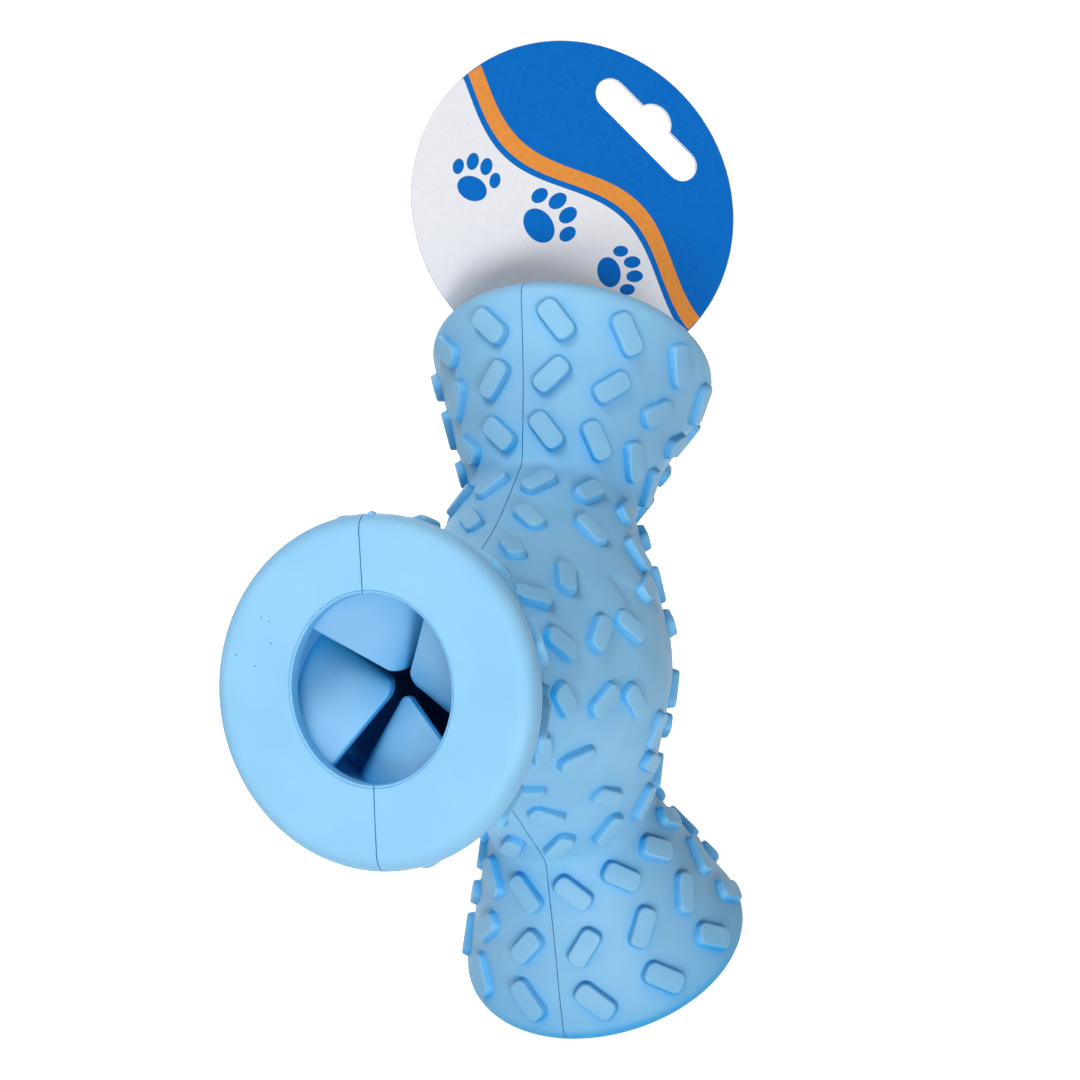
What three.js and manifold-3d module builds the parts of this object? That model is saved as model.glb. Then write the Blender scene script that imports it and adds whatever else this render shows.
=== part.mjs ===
// Treat dispensing dog toy: a hollow rubber body with three flared arms set at 120 degrees,
// a valve of four flaps in each mouth, and a card tag whose tongue sits in the slit of one valve.
// Millimetres, +Z up. The toy stands on the end face of its bottom arm, at Z = 0.
import * as THREE from 'three';
import { mergeVertices } from 'three/addons/utils/BufferGeometryUtils.js';
import Module from 'manifold-3d';

const wasm = await Module();
wasm.setup();

// Body: each arm is turned about its own axis, and its neck and end face stand out from the round of the hub
const HUB_RADIUS = 31.7;
const NECK_REACH = 7.8;
const ARM_REACH = 47.3;
const NECK_RADIUS = 19;
const NECK_FILLET = 5;
const RIM_RADIUS = 33;
const RIM_ROUND = 3.5;
const MOUTH_RADIUS = 17;
const WALL = 5;
const SEAM_GAP = 0.3;

// Stations along an arm are measured from the hub centre
const NECK_STATION = HUB_RADIUS + NECK_REACH;
const ARM_LENGTH = HUB_RADIUS + ARM_REACH;

// Arms turn about X from straight up, so that the arm named bottom points down
const ARM_SPREAD = 120;
const ARM_TURNS = { front: 180 - ARM_SPREAD, bottom: 180, back: 180 + ARM_SPREAD };

// Raised pads: slanted rows round every arm, leaning the other way in each next row
const PAD_LENGTH = 10;
const PAD_WIDTH = 5.2;
const PAD_HEIGHT = 2;
const PAD_TAPER = 0.9;
const PAD_CHAMFER = 1.5;
const PAD_SINK = 0.6;
const PAD_SLANT = THREE.MathUtils.degToRad(42);
const PADS_PER_ROW = 12;
const PAD_ROW_START = 6.6;
const PAD_ROW_PITCH = 11.4;
const PAD_HUB_STATION = 12.5;

// Valve collar, held in a groove behind the lip of each mouth and wider than the mouth
const LIP_THICKNESS = 2.5;
const COLLAR_SETBACK = 1.5;
const COLLAR_WALL = 3;
const COLLAR_TAIL = 1.2;
const SHOULDER_LENGTH = 3;
const SEAT_CLEARANCE = 0.3;

// Valve flaps: flat blades that slope inwards and lie askew like the blades of a pinwheel
const FLAPS_PER_VALVE = 4;
const FLAP_THICKNESS = 1.8;
const FLAP_ROOT_DEPTH = 4.9;
const FLAP_SLOPE = Math.tan(THREE.MathUtils.degToRad(30));
const FLAP_SKEW = Math.tan(THREE.MathUtils.degToRad(19.3));
const FLAP_TIP_ROUND = 2.4;
const FLAP_WALL_CLEARANCE = 0.5;
const HINGE_GAP = 0.4;
const SLIT_CLEARANCE = 0.5;
const SLIT_FLARE = THREE.MathUtils.degToRad(2);
const VALVE_TURNS = { front: 11.2, bottom: 11.2, back: -3.5 };

// Card tag: a disc cut straight at the foot, with a tongue in the slit of the back valve
const TAG_THICKNESS = 0.6;
const TAG_RADIUS = 39.8;
const TAG_FOOT_CUT = 4.9;
const TAG_SHIFT = -8.6;
const TAG_LEAN = THREE.MathUtils.degToRad(19.2);
const TAG_LIFT = 0.5;
const TONGUE_WIDTH = 18;
const TONGUE_DEPTH = 19;
const TONGUE_CORNER = 3;
const HANG_SLOT_LENGTH = 31;
const HANG_SLOT_WIDTH = 7.4;
const HANG_SLOT_CORNER = 3.4;
const HANG_SLOT_FROM_EDGE = 13.4;
const HANG_SLOT_TURN = THREE.MathUtils.degToRad(-27);
const HANG_BUMP_RADIUS = 4.6;
const HANG_BUMP_RISE = 2.2;

// Facets round a full turn
const OUTER_FACETS = 24;
const INNER_FACETS = 24;

const rubber = { color: 0x7fc0ea, roughness: 0.62, metalness: 0 };
const valveRubber = { color: 0x78bbe6, roughness: 0.6, metalness: 0 };
const card = { color: 0xe4e5ec, roughness: 0.45, metalness: 0 };

// Solids from closed geometry, and geometry from solids

function solidFrom(geometry) {
  const bare = geometry.clone();
  bare.deleteAttribute('normal');
  bare.deleteAttribute('uv');
  const welded = mergeVertices(bare, 1e-4);
  const index = welded.index.array;
  const kept = [];
  for (let i = 0; i < index.length; i += 3) {
    const [a, b, c] = [index[i], index[i + 1], index[i + 2]];
    if (a !== b && b !== c && c !== a) kept.push(a, b, c);
  }
  const vertProperties = new Float32Array(welded.attributes.position.array);
  const triVerts = new Uint32Array(kept);
  return new wasm.Manifold(new wasm.Mesh({ numProp: 3, vertProperties, triVerts }));
}

function geometryFrom(solid) {
  const mesh = solid.getMesh();
  const geometry = new THREE.BufferGeometry();
  geometry.setAttribute('position', new THREE.BufferAttribute(new Float32Array(mesh.vertProperties), 3));
  geometry.setIndex(new THREE.BufferAttribute(new Uint32Array(mesh.triVerts), 1));
  geometry.computeVertexNormals();
  return geometry;
}

function namedMesh(name, geometry, finish) {
  const mesh = new THREE.Mesh(geometry, new THREE.MeshStandardMaterial(finish));
  mesh.name = name;
  return mesh;
}

// A profile of [radius, station] points turned about Z
function turned(profile, facets) {
  const points = profile.map(([radius, station]) => new THREE.Vector2(radius, station));
  return new THREE.LatheGeometry(points, facets).rotateX(Math.PI / 2);
}

function arcPoints(centre, radius, from, to, steps) {
  const points = [];
  for (let i = 0; i <= steps; i += 1) {
    const angle = from + ((to - from) * i) / steps;
    points.push([centre[0] + radius * Math.cos(angle), centre[1] + radius * Math.sin(angle)]);
  }
  return points;
}

// Arm profile: hub round, straight cone, neck fillet, straight flare and rim round

const neckCentre = [NECK_RADIUS + NECK_FILLET, NECK_STATION];
const rimCentre = [RIM_RADIUS - RIM_ROUND, ARM_LENGTH - RIM_ROUND];

function tangentSlope(rise, run, radiusSum) {
  return Math.atan2(rise, run) + Math.asin(radiusSum / Math.hypot(rise, run));
}

const flareRise = rimCentre[0] - neckCentre[0];
const flareRun = rimCentre[1] - NECK_STATION;
const hubSlope = tangentSlope(-neckCentre[0], NECK_STATION, NECK_FILLET + HUB_RADIUS);
const flareSlope = tangentSlope(flareRise, flareRun, NECK_FILLET + RIM_ROUND);
const hubTangentStation = HUB_RADIUS * Math.sin(hubSlope);
const flareEndStation = rimCentre[1] - RIM_ROUND * Math.sin(flareSlope);

// Surface radius and slope at a station of the outer body, away from the neck fillet
function surfaceAt(station) {
  if (station < hubTangentStation) {
    return { radius: Math.sqrt(HUB_RADIUS ** 2 - station ** 2), slope: -Math.asin(station / HUB_RADIUS) };
  }
  const onHub = station < NECK_STATION;
  const slope = onHub ? -hubSlope : flareSlope;
  const anchorRadius = onHub
    ? HUB_RADIUS * Math.cos(hubSlope)
    : rimCentre[0] + RIM_ROUND * Math.cos(flareSlope);
  const anchorStation = onHub ? hubTangentStation : flareEndStation;
  return { radius: anchorRadius + (station - anchorStation) * Math.tan(slope), slope };
}

// The start of an arm's profile, with its surface set in by a distance
function hubAndNeck(inset, steps) {
  const coneRadius = (HUB_RADIUS - inset) * Math.cos(hubSlope);
  const coneStation = (HUB_RADIUS - inset) * Math.sin(hubSlope);
  const neck = arcPoints(neckCentre, NECK_FILLET + inset, Math.PI + hubSlope, Math.PI - flareSlope, steps);
  return [[0, 0], [coneRadius, 0], [coneRadius, coneStation], ...neck];
}

function outerArm() {
  const rim = arcPoints(rimCentre, RIM_ROUND, -flareSlope, Math.PI / 2, 4);
  return turned([...hubAndNeck(0, 4), ...rim, [0, ARM_LENGTH]], OUTER_FACETS);
}

// Collar groove: its depth takes in the deepest corner of the flap roots

const slitHalfWidth = TAG_THICKNESS / 2 + SLIT_CLEARANCE;
const flapHalfAngle = Math.PI / FLAPS_PER_VALVE - SLIT_FLARE;
const flapAxialThickness = FLAP_THICKNESS * Math.hypot(1, FLAP_SLOPE, FLAP_SKEW);

// Half width of a blade at a distance from the mouth's axis, between its two slit edges
function bladeHalfWidth(x) {
  return x * Math.tan(flapHalfAngle) - slitHalfWidth / Math.cos(flapHalfAngle);
}

// The straight hinge line spans the mouth where the blade's corners just clear the wall
function hingeDistance() {
  const reach = MOUTH_RADIUS - FLAP_WALL_CLEARANCE;
  const alongEdge = Math.sqrt(reach ** 2 - slitHalfWidth ** 2);
  return alongEdge * Math.cos(flapHalfAngle) + slitHalfWidth * Math.sin(flapHalfAngle);
}

function flapDepth(x, y) {
  return FLAP_ROOT_DEPTH + FLAP_SLOPE * (MOUTH_RADIUS - x) - FLAP_SKEW * y;
}

const hingeX = hingeDistance();
const deepestRoot = flapDepth(hingeX, -bladeHalfWidth(hingeX)) + flapAxialThickness;
const collarFrontDepth = LIP_THICKNESS + SEAT_CLEARANCE;
const collarBackDepth = deepestRoot + COLLAR_TAIL;
const collarBore = MOUTH_RADIUS + COLLAR_SETBACK;
const collarRadius = collarBore + COLLAR_WALL;
const grooveRadius = collarRadius + SEAT_CLEARANCE;
const grooveFront = ARM_LENGTH - LIP_THICKNESS;
const grooveBack = ARM_LENGTH - collarBackDepth - SEAT_CLEARANCE;

// The treat chamber with its collar groove, cut through to the outside at the mouth
function innerArm() {
  const shoulder = grooveBack - SHOULDER_LENGTH;
  const chamberRadius = surfaceAt(shoulder).radius - WALL / Math.cos(flareSlope);
  const profile = [
    ...hubAndNeck(WALL, 2),
    [chamberRadius, shoulder],
    [MOUTH_RADIUS, shoulder],
    [MOUTH_RADIUS, grooveBack],
    [grooveRadius, grooveBack],
    [grooveRadius, grooveFront],
    [MOUTH_RADIUS, grooveFront],
    [MOUTH_RADIUS, ARM_LENGTH + WALL],
    [0, ARM_LENGTH + WALL],
  ];
  return turned(profile, INNER_FACETS);
}

// Pads

function roundedRectangle(length, width, corner) {
  const shape = new THREE.Shape();
  const [x, y] = [length / 2 - corner, width / 2 - corner];
  shape.absarc(x, y, corner, 0, Math.PI / 2, false);
  shape.absarc(-x, y, corner, Math.PI / 2, Math.PI, false);
  shape.absarc(-x, -y, corner, Math.PI, 1.5 * Math.PI, false);
  shape.absarc(x, -y, corner, 1.5 * Math.PI, 2 * Math.PI, false);
  return shape;
}

// An oblong with cut corners that narrows from its buried foot to its flat top
function padGeometry() {
  const [x, y, cut] = [PAD_LENGTH / 2, PAD_WIDTH / 2, PAD_CHAMFER];
  const outline = new THREE.Shape();
  outline.moveTo(x, y - cut).lineTo(x - cut, y).lineTo(cut - x, y).lineTo(-x, y - cut);
  outline.lineTo(-x, cut - y).lineTo(cut - x, -y).lineTo(x - cut, -y).lineTo(x, cut - y);
  return new THREE.ExtrudeGeometry(outline, {
    depth: PAD_SINK,
    bevelThickness: PAD_HEIGHT + PAD_SINK,
    bevelSize: PAD_TAPER,
    bevelOffset: -PAD_TAPER,
    bevelSegments: 1,
  }).translate(0, 0, -2 * PAD_SINK);
}

const padReach = (PAD_LENGTH * Math.cos(PAD_SLANT) + PAD_WIDTH * Math.sin(PAD_SLANT)) / 2;

// Rows run both ways from the neck, and one more row closes the pattern on the hub
function padRows() {
  const rows = [];
  const flareLimit = flareEndStation - padReach * Math.cos(flareSlope);
  for (let i = 0; NECK_STATION + PAD_ROW_START + i * PAD_ROW_PITCH <= flareLimit; i += 1) {
    rows.push({ station: NECK_STATION + PAD_ROW_START + i * PAD_ROW_PITCH, lean: i % 2 ? 1 : -1 });
  }
  const hubLimit = PAD_HUB_STATION + PAD_ROW_PITCH / 2;
  let lean = 1;
  for (let station = NECK_STATION - PAD_ROW_START; station > hubLimit; station -= PAD_ROW_PITCH) {
    rows.push({ station, lean });
    lean = -lean;
  }
  rows.push({ station: PAD_HUB_STATION, lean });
  return rows;
}

function padPlaces() {
  const places = [];
  for (const { station, lean } of padRows()) {
    const { radius, slope } = surfaceAt(station);
    for (let i = 0; i < PADS_PER_ROW; i += 1) {
      const angle = ((i + 0.5) * 2 * Math.PI) / PADS_PER_ROW;
      const radial = new THREE.Vector3(Math.cos(angle), Math.sin(angle), 0);
      const along = new THREE.Vector3(0, 0, Math.cos(slope)).addScaledVector(radial, Math.sin(slope));
      const around = new THREE.Vector3(-Math.sin(angle), Math.cos(angle), 0);
      const long = along.clone().multiplyScalar(Math.cos(PAD_SLANT));
      long.addScaledVector(around, lean * Math.sin(PAD_SLANT));
      const normal = new THREE.Vector3().crossVectors(around, along);
      const wide = new THREE.Vector3().crossVectors(normal, long);
      const place = radial.multiplyScalar(radius).setZ(station);
      const reachInPlane = station * Math.tan(THREE.MathUtils.degToRad(ARM_SPREAD / 2)) - padReach;
      if (Math.abs(place.y) > reachInPlane) continue;
      places.push(new THREE.Matrix4().makeBasis(long, wide, normal).setPosition(place));
    }
  }
  return places;
}

// Body halves, parted in the plane of the arms

function armMatrix(turn) {
  return new THREE.Matrix4().makeRotationX(THREE.MathUtils.degToRad(turn)).setPosition(0, 0, ARM_LENGTH);
}

function bodySolid() {
  const hub = new THREE.SphereGeometry(HUB_RADIUS, OUTER_FACETS, OUTER_FACETS / 2).rotateZ(Math.PI / 2);
  let outer = solidFrom(hub.translate(0, 0, ARM_LENGTH));
  const places = Object.values(ARM_TURNS).map(armMatrix);
  for (const place of places) {
    outer = outer.add(solidFrom(outerArm().applyMatrix4(place)));
  }
  for (const place of places) {
    for (const pad of padPlaces()) {
      outer = outer.add(solidFrom(padGeometry().applyMatrix4(pad).applyMatrix4(place)));
    }
  }
  const [first, ...rest] = places.map((place) => solidFrom(innerArm().applyMatrix4(place)));
  const chamber = rest.reduce((joined, arm) => joined.add(arm), first);
  return outer.subtract(chamber);
}

function bodyHalf(body, side) {
  const reach = 2 * (ARM_LENGTH + RIM_RADIUS);
  const half = new THREE.BoxGeometry(reach, 2 * reach, 2 * reach);
  half.translate((side * (reach + SEAM_GAP)) / 2, 0, ARM_LENGTH);
  return geometryFrom(body.intersect(solidFrom(half)));
}

// Valves: the mouth frame has Z pointing out of the mouth and its origin on the end face

// A plan outline given the slope and skew of the blade, as a plate of even thickness
function slopedPlate(shape) {
  const options = { depth: flapAxialThickness, bevelEnabled: false, curveSegments: 4 };
  const geometry = new THREE.ExtrudeGeometry(shape, options);
  const position = geometry.attributes.position;
  for (let i = 0; i < position.count; i += 1) {
    const [x, y, z] = [position.getX(i), position.getY(i), position.getZ(i)];
    position.setZ(i, z - flapAxialThickness - flapDepth(x, y));
  }
  return geometry;
}

function flapBlade() {
  const root = hingeX - HINGE_GAP / 2;
  const apex = slitHalfWidth / Math.sin(flapHalfAngle);
  const tipCentre = apex + FLAP_TIP_ROUND / Math.sin(flapHalfAngle);
  const tipFrom = Math.PI / 2 + flapHalfAngle;
  const shape = new THREE.Shape();
  shape.moveTo(root, -bladeHalfWidth(root));
  shape.lineTo(root, bladeHalfWidth(root));
  shape.absarc(tipCentre, 0, FLAP_TIP_ROUND, tipFrom, 2 * Math.PI - tipFrom, false);
  shape.closePath();
  return slopedPlate(shape);
}

// The fixed root of a flap, from the hinge line into the collar's wall; the collar cuts it flush
function flapRoot() {
  const edge = hingeX + HINGE_GAP / 2;
  const rootRadius = collarBore + COLLAR_WALL / 2;
  const halfWidth = bladeHalfWidth(edge);
  const sweep = Math.asin(halfWidth / rootRadius);
  const shape = new THREE.Shape();
  shape.moveTo(edge, -halfWidth);
  shape.absarc(0, 0, rootRadius, -sweep, sweep, false);
  shape.lineTo(edge, halfWidth);
  shape.closePath();
  return slopedPlate(shape);
}

function flapTurn(index) {
  return (index * 2 * Math.PI) / FLAPS_PER_VALVE;
}

function collarGeometry() {
  const [front, back] = [-collarFrontDepth, -collarBackDepth];
  const section = [[collarBore, back], [collarRadius, back], [collarRadius, front], [collarBore, front]];
  let collar = solidFrom(turned([...section, section[0]], INNER_FACETS));
  const plug = [[0, back], [collarRadius, back], [collarRadius, front], [0, front]];
  const envelope = solidFrom(turned(plug, INNER_FACETS));
  for (let i = 0; i < FLAPS_PER_VALVE; i += 1) {
    collar = collar.add(solidFrom(flapRoot().rotateZ(flapTurn(i))).intersect(envelope));
  }
  return geometryFrom(collar);
}

function valve(arm) {
  const group = new THREE.Group();
  group.add(namedMesh(`valve_collar_${arm}`, collarGeometry(), valveRubber));
  for (let i = 0; i < FLAPS_PER_VALVE; i += 1) {
    const flap = namedMesh(`flap_${arm}_${i + 1}`, flapBlade(), valveRubber);
    flap.rotation.z = flapTurn(i);
    group.add(flap);
  }
  group.rotation.z = THREE.MathUtils.degToRad(VALVE_TURNS[arm]);
  return group;
}

// Tag: its foot frame has X along the slit, Y out of the mouth and its origin on the end face

const tagPlate = { depth: TAG_THICKNESS, bevelEnabled: false, curveSegments: 20 };

// The slot of a shop hook: a bar with round ends and a round rise at its middle
function hangSlot() {
  const bar = roundedRectangle(HANG_SLOT_LENGTH, HANG_SLOT_WIDTH, HANG_SLOT_CORNER);
  const through = { depth: 4 * TAG_THICKNESS, bevelEnabled: false, curveSegments: 3 };
  const rise = new THREE.Shape().absarc(0, HANG_BUMP_RISE, HANG_BUMP_RADIUS, 0, 2 * Math.PI, false);
  const parts = [bar, rise].map((shape) => new THREE.ExtrudeGeometry(shape, through)
    .translate(0, TAG_RADIUS - HANG_SLOT_FROM_EDGE, -2 * TAG_THICKNESS)
    .rotateZ(HANG_SLOT_TURN)
    .translate(TAG_SHIFT, TAG_RADIUS - TAG_FOOT_CUT, 0));
  return solidFrom(parts[0]).add(solidFrom(parts[1]));
}

function tagFace() {
  const centreHeight = TAG_RADIUS - TAG_FOOT_CUT;
  const cut = Math.asin(centreHeight / TAG_RADIUS);
  const disc = new THREE.Shape();
  disc.absarc(TAG_SHIFT, centreHeight, TAG_RADIUS, -cut, Math.PI + cut, false);
  const plate = new THREE.ExtrudeGeometry(disc, tagPlate).translate(0, 0, -TAG_THICKNESS / 2);
  return geometryFrom(solidFrom(plate).subtract(hangSlot()));
}

function tagGeometry() {
  const face = tagFace().rotateX(TAG_LEAN).translate(0, TAG_LIFT, 0);
  const tongueHeight = TONGUE_DEPTH + TAG_LIFT + TAG_THICKNESS;
  const tongueShape = roundedRectangle(TONGUE_WIDTH, tongueHeight, TONGUE_CORNER);
  const tongue = new THREE.ExtrudeGeometry(tongueShape, { ...tagPlate, curveSegments: 2 })
    .translate(0, tongueHeight / 2 - TONGUE_DEPTH, -TAG_THICKNESS / 2);
  return geometryFrom(solidFrom(face).add(solidFrom(tongue)));
}

function tag() {
  const group = new THREE.Group();
  const mesh = namedMesh('hang_tag', tagGeometry(), card);
  mesh.rotation.x = Math.PI / 2;
  group.add(mesh);
  group.rotation.z = THREE.MathUtils.degToRad(VALVE_TURNS.back) + Math.PI / FLAPS_PER_VALVE;
  return group;
}

// Assembly

const toy = new THREE.Group();
const body = bodySolid();
toy.add(namedMesh('shell_left', bodyHalf(body, -1), rubber));
toy.add(namedMesh('shell_right', bodyHalf(body, 1), rubber));
for (const [arm, turn] of Object.entries(ARM_TURNS)) {
  const mouth = new THREE.Group();
  armMatrix(turn).decompose(mouth.position, mouth.quaternion, mouth.scale);
  mouth.translateZ(ARM_LENGTH);
  mouth.add(valve(arm));
  if (arm === 'back') mouth.add(tag());
  toy.add(mouth);
}

// The origin is the middle of the footprint's box, on the surface that the toy stands on
const bounds = new THREE.Box3().setFromObject(toy, true);
const middle = bounds.getCenter(new THREE.Vector3());
toy.position.set(-middle.x, -middle.y, -bounds.min.z);

export default toy;
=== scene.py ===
import math

import bmesh
import bpy
from mathutils import Matrix, Vector

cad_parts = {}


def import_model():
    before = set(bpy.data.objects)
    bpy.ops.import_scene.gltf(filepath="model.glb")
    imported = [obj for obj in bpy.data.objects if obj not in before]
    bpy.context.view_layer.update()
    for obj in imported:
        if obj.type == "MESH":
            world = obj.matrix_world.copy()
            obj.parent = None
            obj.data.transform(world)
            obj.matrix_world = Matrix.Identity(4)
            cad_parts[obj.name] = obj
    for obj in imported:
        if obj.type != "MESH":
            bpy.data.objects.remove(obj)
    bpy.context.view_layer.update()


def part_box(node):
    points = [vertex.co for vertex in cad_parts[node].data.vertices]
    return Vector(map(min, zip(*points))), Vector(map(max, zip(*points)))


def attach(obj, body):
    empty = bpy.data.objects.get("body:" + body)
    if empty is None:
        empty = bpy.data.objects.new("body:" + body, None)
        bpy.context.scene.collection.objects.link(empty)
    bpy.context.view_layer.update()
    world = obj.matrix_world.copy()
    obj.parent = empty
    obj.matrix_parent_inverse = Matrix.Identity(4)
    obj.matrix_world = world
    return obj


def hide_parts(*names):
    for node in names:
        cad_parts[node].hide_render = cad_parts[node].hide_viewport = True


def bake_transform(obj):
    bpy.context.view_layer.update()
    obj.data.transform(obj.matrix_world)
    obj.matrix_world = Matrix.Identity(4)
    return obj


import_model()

MM = 0.001

# Body: stations run along an arm from the hub centre
ARM_LENGTH = 79.0
HUB_RADIUS = 31.7
NECK_STATION = 39.5
NECK_RADIUS = 19.0
NECK_FILLET = 5.0
RIM_RADIUS = 33.0
RIM_ROUND = 3.5
WALL = 5.0
BODY_FLATNESS = 0.984
BODY_REACH = ARM_LENGTH + RIM_RADIUS
ARM_TURNS = {"front": 60.0, "bottom": 180.0, "back": 300.0}
ARM_SPREAD = math.radians(120.0)

# Soft saddles between the arms; a soft join of two surfaces rises by a quarter of its reach
SADDLE_BLEND = 3.0
SADDLE_RISE = SADDLE_BLEND / 4
SADDLE_SMOOTH_STEPS = 12
SADDLE_SMOOTH_REACH = 4.0

# Parting line of the body halves; its waves have a height, a rate along Y and Z, and a start
SEAM_WIDTH = 0.2
SEAM_DEPTH = 0.5
SEAM_OVERLAP = 0.05
SEAM_WAVES = [(0.16, 0.11, 0.07, 0.0), (0.096, -0.23, 0.31, 1.0)]
SEAM_GRID = 48

# Mouths and their lips
MOUTH_RADIUS = 17.0
MOUTH_OVAL = (0.987, 1.058)
MOUTH_SHIFTS = {"front": (0.4, 0.8), "bottom": (0.0, 0.0), "back": (0.0, 0.0)}
LIP_THICKNESS = 2.5
LIP_ROUND = 0.4
LIP_LINE_WIDTH = 0.18
LIP_LINE_DEPTH = 0.13

# Mould flash of the front arm, sized from its middle out; along the lip, a length for each angle
LIP_FLASH = {97: 0.7, 111: 1.1, 119: 0.6, 127: 1.3, 134: 0.8}
LIP_FLASH_INSET = 0.1
LIP_FLASH_WIDTH = 0.22
LIP_FLASH_HEIGHT = 0.2
RIM_FLASH_PLACE = (1.6, 32.7, -2.6)
RIM_FLASH_SIZE = (0.8, 0.7, 0.9)
FLASH_SUBDIVISIONS = 2

# Raised pads, full size next to the rim
PAD_LENGTH = 10.3
PAD_WIDTH = 5.5
PAD_HEIGHT = 1.6
PAD_TAPER = 0.3
PAD_EDGE_ROUND = 0.5
PAD_CORNER = 2.0
PAD_CORNER_SHRINK = 0.7
PAD_INNER_SIZE = 0.92
PAD_HUB_SIZE = 0.84
PAD_SINK = 1.2
PAD_SLANT = math.radians(42.0)
PADS_PER_ROW = 12
PAD_ROW_START = 6.6
PAD_ROW_PITCH = 11.4
PAD_HUB_STATION = 12.5

# Valve collars and flaps; the back flaps leave room for the card's tongue
COLLAR_BORE = 18.5
COLLAR_WALL = 3.0
COLLAR_BACK = 14.6
SEAT_CLEARANCE = 0.3
SHOULDER_LENGTH = 3.0
VALVE_TURNS = {"front": 11.2, "bottom": 11.2, "back": -3.5}
FLAPS_PER_VALVE = 4
FLAP_SIDE_GAP = math.radians(2.0)
FLAP_HALF_ANGLE = math.pi / FLAPS_PER_VALVE - FLAP_SIDE_GAP
FLAP_THICKNESS = 1.8
FLAP_ROOT_DEPTH = 4.9
FLAP_SLOPE = math.tan(math.radians(30.0))
FLAP_SKEW = math.tan(math.radians(19.3))
FLAP_TIP_ROUND = 2.4
FLAP_ROLL = 1.5
FLAP_ROLL_REACH = 2.6
FLAP_SINK = 0.7
FLAP_UNDERLAPS = {"front": math.radians(4.0), "bottom": math.radians(4.0), "back": 0.0}
UNDER_LIP_DEPTH = 2.6
UNDER_LIP_REACH = 0.4
UNDER_LIP_SLOPE = 3.0
SLIT_HALF_WIDTH = 0.8

# Card tag
TAG_THICKNESS = 0.6
TAG_RADIUS = 39.8
TAG_FOOT_CUT = 4.9
TAG_SHIFT = -8.6
TAG_LEAN = math.radians(19.2)
TAG_LIFT = 0.5
TONGUE_WIDTH = 18.0
TONGUE_DEPTH = 19.0
TONGUE_CORNER = 3.0
SLOT_LENGTH = 31.0
SLOT_WIDTH = 7.4
SLOT_FROM_EDGE = 13.4
SLOT_BUMP_RADIUS = 4.6
SLOT_BUMP_RISE = 2.2

# Print on the card: a wave with a band over it, and paws given as place, turn and size
ART_TURN = math.radians(-27.0)
PRINT_THICKNESS = 0.03
PRINT_MARGIN = 0.25
WAVE_HEIGHT = 1.0
WAVE_SWING = 5.0
WAVE_LENGTH = 62.0
WAVE_START = 0.5
BAND_GAP = 1.6
BAND_WIDTH = 4.2
PAWS = [((-21.0, -14.0), 25.0, 1.0), ((-3.0, -8.5), -10.0, 1.2), ((17.0, -5.0), -38.0, 1.0)]

# Heel and toes of a paw: place, half width and half height
PAW_PADS = [
    (0.0, -1.4, 3.6, 2.9),
    (-4.6, 2.4, 1.3, 1.9),
    (-1.7, 4.8, 1.4, 2.1),
    (1.7, 4.8, 1.4, 2.1),
    (4.6, 2.4, 1.3, 1.9),
]

# Fineness of the shapes
ROUND_SEGMENTS = 128
SPHERE_RINGS = 64
PROFILE_STEP = 1.5
RIM_STEPS = 10
NECK_STEPS = 10
CHAMBER_STEPS = 4
LIP_STEPS = 8
PAD_EDGE_STEPS = 4
PAD_CORNER_STEPS = 5
FLAP_ROWS = 10
FLAP_COLUMNS = 8
FLAP_SMOOTH_LEVELS = 2
DISC_STEPS = 160
SLOT_END_STEPS = 12
SLOT_BUMP_STEPS = 16
TONGUE_STEPS = 6
PAW_STEPS = 32
WAVE_STEPS_PER_MM = 4
SHARP_ANGLE = 35.0
FLAP_SHARP_ANGLE = 60.0
TURN_MERGE = 1e-4
PLATE_MERGE = 1e-5
CUT_CLEARANCE = 0.02
MATCH_TOLERANCE = 0.01

# Colours: a deep and a pale shade for each finish; each rubber has a third, deeper colour which is painted
# shade, laid on where its surface is hemmed in
BODY_COLOURS_AND_PAINTED_SHADE = [(0.25, 0.56, 0.85), (0.29, 0.61, 0.885), (0.015, 0.38, 0.80)]
VALVE_COLOURS_AND_PAINTED_SHADE = [(0.255, 0.54, 0.82), (0.295, 0.59, 0.855), (0.02, 0.33, 0.70)]
CARD_COLOURS = [(0.82, 0.82, 0.86), (0.86, 0.86, 0.89)]
BLUE_INK = [(0.003, 0.145, 0.55), (0.005, 0.165, 0.59)]
WHITE_INK = [(0.85, 0.85, 0.89), (0.89, 0.89, 0.92)]
ORANGE_INK = [(0.80, 0.28, 0.05), (0.86, 0.33, 0.07)]
WHITE = (1.0, 1.0, 1.0, 1.0)

# Rubber finish: bumps have a scale, a depth and a strength
RUBBER_GLOSS = 0.3
RUBBER_ROUGHNESS = (0.46, 0.56)
RUBBER_SHEEN_SCALE = 420.0
CLOUD_SCALE = 70.0
CLOUD_DETAIL = 3.0
RUBBER_GRAIN = (2600.0, 0.03, 0.35)
RUBBER_RIPPLE = (160.0, 0.12, 0.25)
# Painted shade: ambient occlusion within this reach in millimetres darkens the rubber towards its third
# colour, fully below the first value of its range and not at all above the second
PAINTED_SHADE_REACH = 25.0
PAINTED_SHADE_SAMPLES = 8
BODY_PAINTED_SHADE_RANGE = (0.35, 0.95)
VALVE_PAINTED_SHADE_RANGE = (0.2, 0.85)

# Specks in the rubber of the front end face, as seen from outside the mouth
SPOTS = [(-21.5, 14.9), (-19.9, 14.1), (-19.7, 10.0), (-23.4, 5.9), (-27.3, 8.1)]
SPOT_RADIUS = 0.18
SPOT_COLOUR = (0.10, 0.26, 0.42)

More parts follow.
